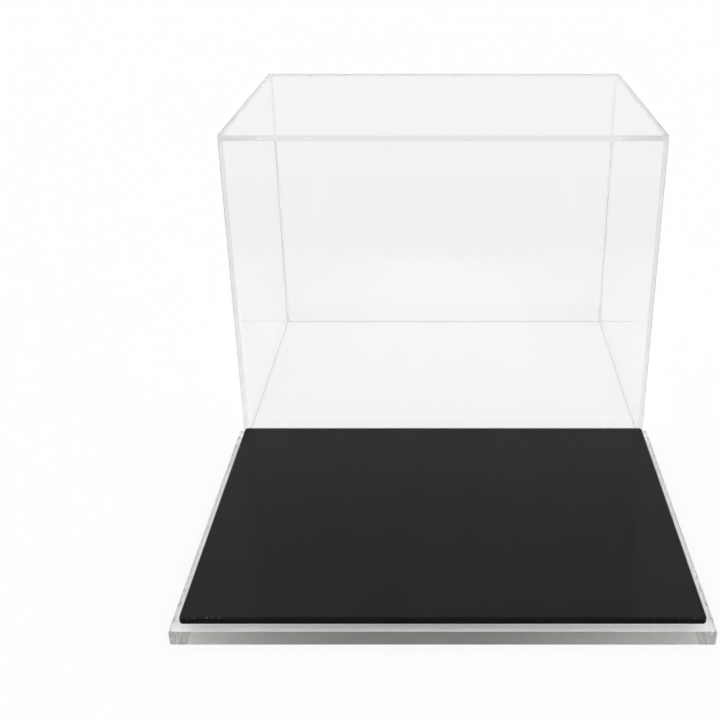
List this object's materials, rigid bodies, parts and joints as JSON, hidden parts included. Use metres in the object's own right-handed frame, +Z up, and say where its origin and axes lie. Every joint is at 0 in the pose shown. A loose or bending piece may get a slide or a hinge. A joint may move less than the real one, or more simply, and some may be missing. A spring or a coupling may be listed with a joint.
{
  "type": "helmet display box",
  "caption": "Clear acrylic display box: a lift-off cover of bonded sheets fits round a glossy black panel on a thick clear base plate, made to show a helmet.",
  "frame": {"origin": "middle of the base plate's underside, on the surface that the box stands on", "axes": "+X to the right, +Y towards the rear, where the lifted-off cover stands, +Z up"},
  "size_m": [0.4, 0.605, 0.302],
  "materials": {
    "clear_plate": "thick clear acrylic, polished faces, sawn side edges, eased arrises",
    "clear_sheet": "thin clear acrylic sheet, polished faces, cut edges bonded with clear cement",
    "black_panel": "glossy black acrylic with rounded edges, a little dust",
    "mounting_tape": "white double-sided foam tape, 50 mm wide"
  },
  "bodies": {
    "base": {"base_plate": "clear_plate", "display_panel": "black_panel", "tape_front": "mounting_tape", "tape_rear": "mounting_tape", "tape_left": "mounting_tape", "tape_right": "mounting_tape"},
    "cover": {"cover_front": "clear_sheet", "cover_rear": "clear_sheet", "cover_left": "clear_sheet", "cover_right": "clear_sheet", "cover_top": "clear_sheet"}
  },
  "joints": [
    {"name": "cover_lift", "type": "slide", "parent": "base", "child": "cover", "axis": [0, 0, 1], "range_m": [0, 0.32]}
  ]
}
